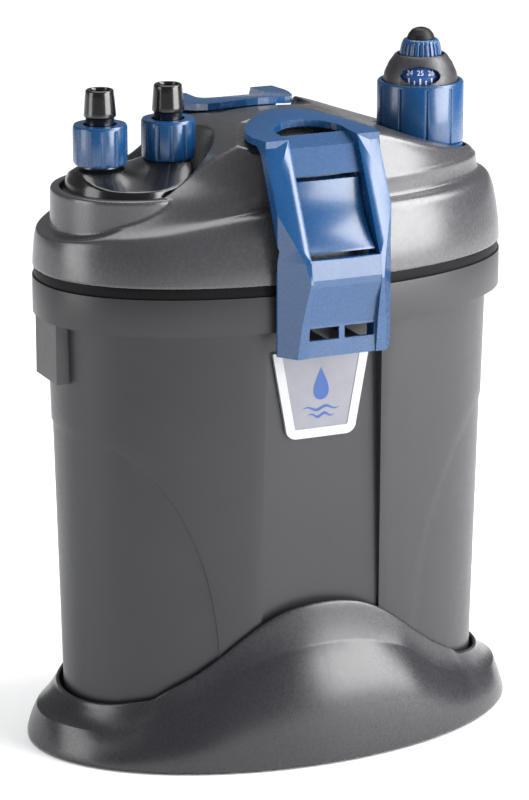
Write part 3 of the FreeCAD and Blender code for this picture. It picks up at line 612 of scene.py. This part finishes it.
def make_head():
    body = place(head_solid("head_body", 0.0, HEAD_Z0, 0.0))
    hollow = place(head_solid("hollow", WALL, HEAD_Z0 - 2, WALL))
    lining_half = CHANNEL_HALF + 3.3
    lining = [(y + WALL if y > -80 else y, z - 2.6) for y, z in CHANNEL]
    for outline in (lining, rotated_outline(lining)):
        combine(hollow, prism_mesh("lining", outline, -lining_half, lining_half), "DIFFERENCE")
    combine(hollow, plug_mesh("cup_liner", CUP_X, 38.8, 236, 300), "DIFFERENCE")
    combine(hollow, plug_mesh("seat_liner", HEATER_X, 24, 252, 300), "DIFFERENCE")
    for outline in (CHANNEL, rotated_outline(CHANNEL)):
        combine(body, prism_mesh("channel", outline, -CHANNEL_HALF, CHANNEL_HALF), "DIFFERENCE")
    combine(body, turned_mesh("cup", CUP, CUP_X), "UNION")
    combine(body, hollow.data.copy(), "DIFFERENCE")
    bpy.data.objects.remove(hollow)
    combine(body, turned_mesh("bore", CUP_BORE, CUP_X), "DIFFERENCE")
    combine(body, plug_mesh("seat", HEATER_X, 21.0, 257, 292), "DIFFERENCE")
    for x, radius in ((HEATER_X, 14.6), (PORTS[0], 9.0), (PORTS[1], 9.0)):
        combine(body, plug_mesh("hole", x, radius, 210, 270, count=64), "DIFFERENCE")
    return soften(body, 0.55, 2)


finish_piece(make_head(), "head_plastic", "head", "head_shell")


# ---- hose connector ----------------------------------------------------------------------------
SADDLE_TOP = 256.2
SADDLE_R, SADDLE_CROWN = 31.0, 3.4
BOSSES = ((PORTS[0], 265.2, 9.0), (PORTS[1], 267.0, 13.5))     # port, height and reach of each flare
BOSS_R = 9.2
RIM_R, RIM_INNER_R, RIM_SLOPE = 30.1, 22, 2.2
FLANGE = ((30.2, 247.2), (30.9, 247.8), (31.05, 249), (31.05, 253.6), (30.7, 254.6), (29.8, 255.2))
NECK = [(0, 258), (9.6, 258), (9.6, 278.8), (9.2, 279.2), (0, 279.2)]
PLUG = [(0, 238.2), (8.1, 238.2), (8.6, 239.2), (8.6, 239.9), (7.9, 240.1), (7.9, 241.1), (8.6, 241.3),
        (8.6, 252), (0, 252)]
HOSE_TAIL = [(4.75, 279.3), (9.2, 279.3), (9.35, 279.6), (9.35, 281.0), (9.1, 281.4), (6.5, 281.5),
             (6.3, 281.8), (6.3, 286.9), (6.5, 287.2), (7.05, 287.5), (7.15, 288.0), (7.0, 289.4),
             (6.5, 296.0), (6.25, 298.3), (6.1, 298.9), (5.7, 299.25), (5.3, 299.35), (4.95, 299.2),
             (4.75, 298.7)]


def saddle_height(x, y):
    """A low dome with a flare round each port; the flares run together between the ports."""
    middle = math.hypot(x - CUP_X, y)
    dish = SADDLE_TOP + SADDLE_CROWN * (1 - (middle / SADDLE_R) ** 2)
    tops = []
    for port, top, reach in BOSSES:
        away = max(0.0, math.hypot(x - port, y) - BOSS_R)
        tops.append(dish + (top - dish) * math.exp(-((away / reach) ** 1.35)))
    blend = max(tops) + 1.2 * math.exp(-abs(tops[0] - tops[1]) / 2.4)
    if middle <= RIM_INNER_R:
        return blend
    return min(blend, dish + (RIM_R - middle) * RIM_SLOPE)


def make_connector():
    """Glossy saddle on a round flange, with a neck above and a plug below each port."""
    count, steps = 192, 46
    rings = [circle(CUP_X, r, z, count) for r, z in FLANGE]
    for step in range(1, steps):
        level = circle(CUP_X, FLANGE[-1][0] * (1 - step / steps), 0.0, count)
        rings.append([(x, y, saddle_height(x, y)) for x, y, _ in level])
    bottom, top = (CUP_X, 0, FLANGE[0][1]), (CUP_X, 0, saddle_height(CUP_X, 0))
    body = place(rings_mesh("connector_body", rings, bottom, top))
    for port in PORTS:
        combine(body, turned_mesh("neck", NECK, port, count=96), "UNION")
        combine(body, turned_mesh("plug", PLUG, port, count=96), "UNION")
    for port in PORTS:
        combine(body, plug_mesh("bore", port, 5.4, 230, 290, count=96), "DIFFERENCE")
    soften(body, 0.5, 3)
    finish_piece(body, "black_plastic", "connector", "connector_block")


make_connector()

for port, side in zip(PORTS, ("inlet", "outlet")):
    tail = place(turned_mesh(side + "_hose_tail", HOSE_TAIL, port, count=96))
    finish_piece(tail, "black_plastic", "connector", side + "_spigot")


# ---- heater dial and scale ---------------------------------------------------------------------
WINDOW_TURN = math.radians(-26.6)    # the window's bearing from the front
DIAL = [(2.75, 298.9), (4.2, 298.9), (4.3, 300.9), (9.3, 300.9), (9.6, 301.2), (9.62, 302.6), (9.4, 304.4),
        (9.0, 306.6), (8.6, 308.0), (8.1, 309.2), (7.5, 309.9), (6.8, 310.15), (2.75, 310.15)]
RIBS, POINTS_PER_RIB, RIB_DEPTH = 24, 14, 0.75
DEGREE = math.radians(11.0) * 2      # turn of the dial for one degree of temperature
MIDDLE_TEMPERATURE = 25
DRUM_R, DRUM_BEVEL_Z, DRUM_BEVEL = 13.6, 294.3, 1.8 / 4.5
PRINT_GAP = 0.06
TICK_FOOT_Z, NUMBER_Z, NUMBER_SIZE = 291.4, 296.4, 3.1


def make_dial():
    """Thermostat knob with fine upright ribs."""
    count = RIBS * POINTS_PER_RIB
    rings = []
    for r, z in DIAL:
        share = ramp(z, 301.0, 301.9) * (1 - ramp(z, 308.6, 309.6)) if r > 5 else 0.0
        ring = []
        for i in range(count):
            angle = 2 * math.pi * i / count
            wave = math.cos(2 * math.pi * (i % POINTS_PER_RIB) / POINTS_PER_RIB)
            reach = r - RIB_DEPTH * share * max(0.0, wave - 0.1) / 0.9
            ring.append((HEATER_X + reach * math.cos(angle), reach * math.sin(angle), z))
        rings.append(ring)
    dial = place(rings_mesh("dial_knob", rings, joined=True))
    finish_piece(dial, "blue_plastic", "dial", "temperature_dial")


def drum_radius(z):
    return DRUM_R - DRUM_BEVEL * max(0.0, z - DRUM_BEVEL_Z)


def on_drum(turn, z):
    """Point of the print at a bearing round the drum and a height."""
    r = drum_radius(z) + PRINT_GAP
    return (HEATER_X + r * math.sin(turn), -r * math.cos(turn), z)


def make_ticks():
    """A tall tick for each degree and a short one for each half."""
    points, faces = [], []
    for step in range(-11, 12):
        centre = WINDOW_TURN + DEGREE / 2 * step
        half, top = (0.028, 294.2) if step % 2 == 0 else (0.02, 293.2)
        levels = [TICK_FOOT_Z + (top - TICK_FOOT_Z) * row / 3 for row in range(4)]
        for low, high in zip(levels, levels[1:]):
            faces.append(tuple(range(len(points), len(points) + 4)))
            points += [on_drum(centre - half, low), on_drum(centre + half, low),
                       on_drum(centre + half, high), on_drum(centre - half, high)]
    finish_piece(place(mesh_from("scale_ticks", points, faces)), "print_white", "dial")


def make_number(temperature):
    centre = WINDOW_TURN + DEGREE * (temperature - MIDDLE_TEMPERATURE)
    text = bpy.data.curves.new("number", "FONT")
    text.body = str(temperature)
    text.size = NUMBER_SIZE * MM
    text.align_x, text.align_y = "CENTER", "CENTER"
    text.resolution_u = 3
    flat = place(text)
    mesh = evaluated_mesh(flat)
    bpy.data.objects.remove(flat)
    for vertex in mesh.vertices:
        x, z = vertex.co.x / MM, vertex.co.y / MM + NUMBER_Z
        vertex.co = Vector(on_drum(centre + x / drum_radius(z), z)) * MM
    number = place(mesh)
    number.name = "scale_number_%d" % temperature
    finish_piece(number, "print_white", "dial")


make_dial()
make_ticks()
for temperature in range(20, 31):
    make_number(temperature)


# ---- badge emblem ------------------------------------------------------------------------------
EMBLEM_FRONT_Y, EMBLEM_BACK_Y = -56.1, -55.9
DROP_Z, DROP_HALF_WIDTH, DROP_HALF_HEIGHT = 172.0, 5.4, 7.6
WAVES = ((160.6, 9.0), (157.4, 6.5))     # height and half-length
WAVE_RISE, WAVE_THICK = 0.75, 0.65


def drop_outline(count=48):
    turns = [2 * math.pi * i / count for i in range(count)]
    return [(DROP_HALF_WIDTH * math.sin(t) * math.sin(t / 2) ** 1.6, DROP_Z + DROP_HALF_HEIGHT * math.cos(t))
            for t in turns]


def wave_outline(level, reach, count=40):
    """Two full waves that taper to both ends."""
    upper, lower = [], []
    for i in range(count + 1):
        x = -reach + 2 * reach * i / count
        z = level + WAVE_RISE * math.sin(4 * math.pi * i / count)
        half = WAVE_THICK * math.sin(math.pi * i / count) + 0.05
        upper.append((x, z + half))
        lower.append((x, z - half))
    return upper + lower[::-1]


def make_emblem():
    """Plain water drop over two waves, in thin raised print."""
    points, faces = [], []
    for outline in [drop_outline()] + [wave_outline(level, reach) for level, reach in WAVES]:
        start, count = len(points), len(outline)
        for y in (EMBLEM_FRONT_Y, EMBLEM_BACK_Y):
            points += [(x, y, z) for x, z in outline]
        faces.append(tuple(range(start, start + count)))
        faces.append(tuple(reversed(range(start + count, start + 2 * count))))
        for i in range(count):
            j = (i + 1) % count
            faces.append((start + j, start + i, start + count + i, start + count + j))
    mesh = face_outward(mesh_from("badge_emblem", points, faces), flat=True)
    finish_piece(place(mesh), "print_blue", "tub")
    mesh.polygons.foreach_set("use_smooth", [False] * len(mesh.polygons))


make_emblem()


# ---- filter foams ------------------------------------------------------------------------------
FOAM_HALVES = (89.0, 46.5)
FOAM_LEFT, FOAM_RIGHT, FOAM_HALF = -61.4, 55.4, 46.0     # the basket's flat sides
FOAM_FOOT_ROUNDING = ((2.6, 0.0), (0.9, 0.5), (0.2, 1.6), (0.0, 4.0))      # inset and height
FOAM_TOP_ROUNDING = ((0.0, 4.6), (0.2, 2.2), (0.9, 1.1), (2.6, 0.6), (12.0, 0.2), (26.0, 0.0))
FOAM_WAIST = 0.35


def clamp(value, low, high):
    return min(max(value, low), high)


def make_foam_pad(slot, z0, z1):
    """Block of filter foam cut to its basket, with soft cut edges and a slightly crowned top."""
    levels = [(inset, z0 + rise) for inset, rise in FOAM_FOOT_ROUNDING]
    levels.append((FOAM_WAIST, (z0 + z1) / 2))
    levels += [(inset, z1 - drop) for inset, drop in FOAM_TOP_ROUNDING]
    rings = []
    for inset, height in levels:
        oval = oval_ring(FOAM_HALVES[0] - inset, FOAM_HALVES[1] - inset, height, TUB_N, 160)
        half = FOAM_HALF - inset
        rings.append([(clamp(x, FOAM_LEFT + inset, FOAM_RIGHT - inset), clamp(y, -half, half), z)
                      for x, y, z in oval])
    middle = (FOAM_LEFT + FOAM_RIGHT) / 2
    pad = place(rings_mesh(slot + "_pad", rings, (middle, 0, z0), (middle, 0, z1)))
    finish_piece(pad, slot, "tub", slot)


make_foam_pad("coarse_foam", 12.5, 56.0)
make_foam_pad("fine_foam", 120.5, 158.0)


# ---- CAD nodes that stay -----------------------------------------------------------------------
EDGE_ROUND_MM = {
    "tub": 0.8, "front_latch": 0.5, "rear_latch": 0.5, "front_latch_keeper": 0.5, "rear_latch_keeper": 0.5,
    "inlet_nut": 0.35, "outlet_nut": 0.35, "heater_collar": 0.35, "collar_ring": 0.35, "heater_dome": 0.35,
    "badge_frame": 0.3, "head_seal": 0.3, "motor_cover": 0.4,
}
WELD_MM = 0.01
SHARP = math.radians(38)
for name, node in nodes.items():
    for held in node.material_slots:
        held.material = MATERIALS[held.material.name.split(".")[0]]
    if name in EDGE_ROUND_MM:
        weld = node.modifiers.new("weld", "WELD")
        weld.merge_threshold = WELD_MM * MM
        rounding = node.modifiers.new("rounding", "BEVEL")
        rounding.width = EDGE_ROUND_MM[name] * MM
        rounding.segments = 3
        rounding.limit_method = "ANGLE"
        rounding.angle_limit = SHARP


# ---- stage, lights and camera ------------------------------------------------------------------
# Lights and camera are placed in metres.
FLOOR_HALF = 9000
FLOOR_WHITE = (0.93, 0.93, 0.935, 1)
SKY_WHITE, SKY_STRENGTH = (0.96, 0.98, 1.0, 1), 0.2
LIGHT_AIM = Vector((0, 0, 0.14))


def make_floor():
    corners = [(sx * FLOOR_HALF, sy * FLOOR_HALF, 0) for sx, sy in ((-1, -1), (1, -1), (1, 1), (-1, 1))]
    floor = place(mesh_from("floor", corners, [(0, 1, 2, 3)]))
    material, tree, shader = new_material("floor_white")
    coordinates = tree.nodes.new("ShaderNodeTexCoord").outputs["Object"]
    tree.links.new(remap(tree, noise(tree, coordinates, 60), 0.55, 0.6), shader.inputs["Roughness"])
    shader.inputs["Base Color"].default_value = FLOOR_WHITE
    floor.data.materials.append(material)


def softbox(name, direction, distance, width, height, power):
    """Flat light that stands off in a direction from the aim point and faces it."""
    light = bpy.data.lights.new(name, "AREA")
    light.shape = "RECTANGLE"
    light.size, light.size_y = width, height
    light.energy = power
    lamp = place(light)
    towards = Vector(direction).normalized()
    lamp.location = LIGHT_AIM + towards * distance
    lamp.rotation_mode = "QUATERNION"
    lamp.rotation_quaternion = (-towards).to_track_quat("-Z", "Y")


def make_ceiling():
    """Broad light from overhead, which also lifts the floor to white."""
    light = bpy.data.lights.new("ceiling", "SUN")
    light.energy = 2.6
    light.angle = math.radians(55)
    place(light).rotation_euler = (math.radians(-14), math.radians(6), 0)


def make_sky():
    scene.world = bpy.data.worlds.new("studio")
    scene.world.use_nodes = True
    background = scene.world.node_tree.nodes["Background"]
    background.inputs["Color"].default_value = SKY_WHITE
    background.inputs["Strength"].default_value = SKY_STRENGTH


def make_camera(location, azimuth, pitch):
    """Camera that looks along an azimuth, measured from +Y, and down by the pitch."""
    data = bpy.data.cameras.new("camera")
    data.sensor_width = 36
    data.lens = 162.0
    data.shift_x = -0.0056
    data.shift_y = 0.003
    camera = place(data)
    camera.location = location
    level = math.cos(pitch)
    forward = Vector((-math.sin(azimuth) * level, math.cos(azimuth) * level, -math.sin(pitch)))
    camera.rotation_mode = "QUATERNION"
    camera.rotation_quaternion = forward.to_track_quat("-Z", "Y")
    return camera


make_floor()
make_sky()
softbox("key", (0.62, -0.735, 0.27), 1.6, 1.3, 0.9, 40)
softbox("crown_light", (0.64, -0.3, 0.7), 1.6, 0.9, 0.8, 27)
softbox("fill", (-0.95, 0.05, 0.2), 1.7, 0.8, 1.1, 12)
make_ceiling()
scene.camera = make_camera((-0.6439, -1.4342, 0.6026), math.radians(-24.18), math.radians(16.12))
scene.view_settings.view_transform = "Standard"
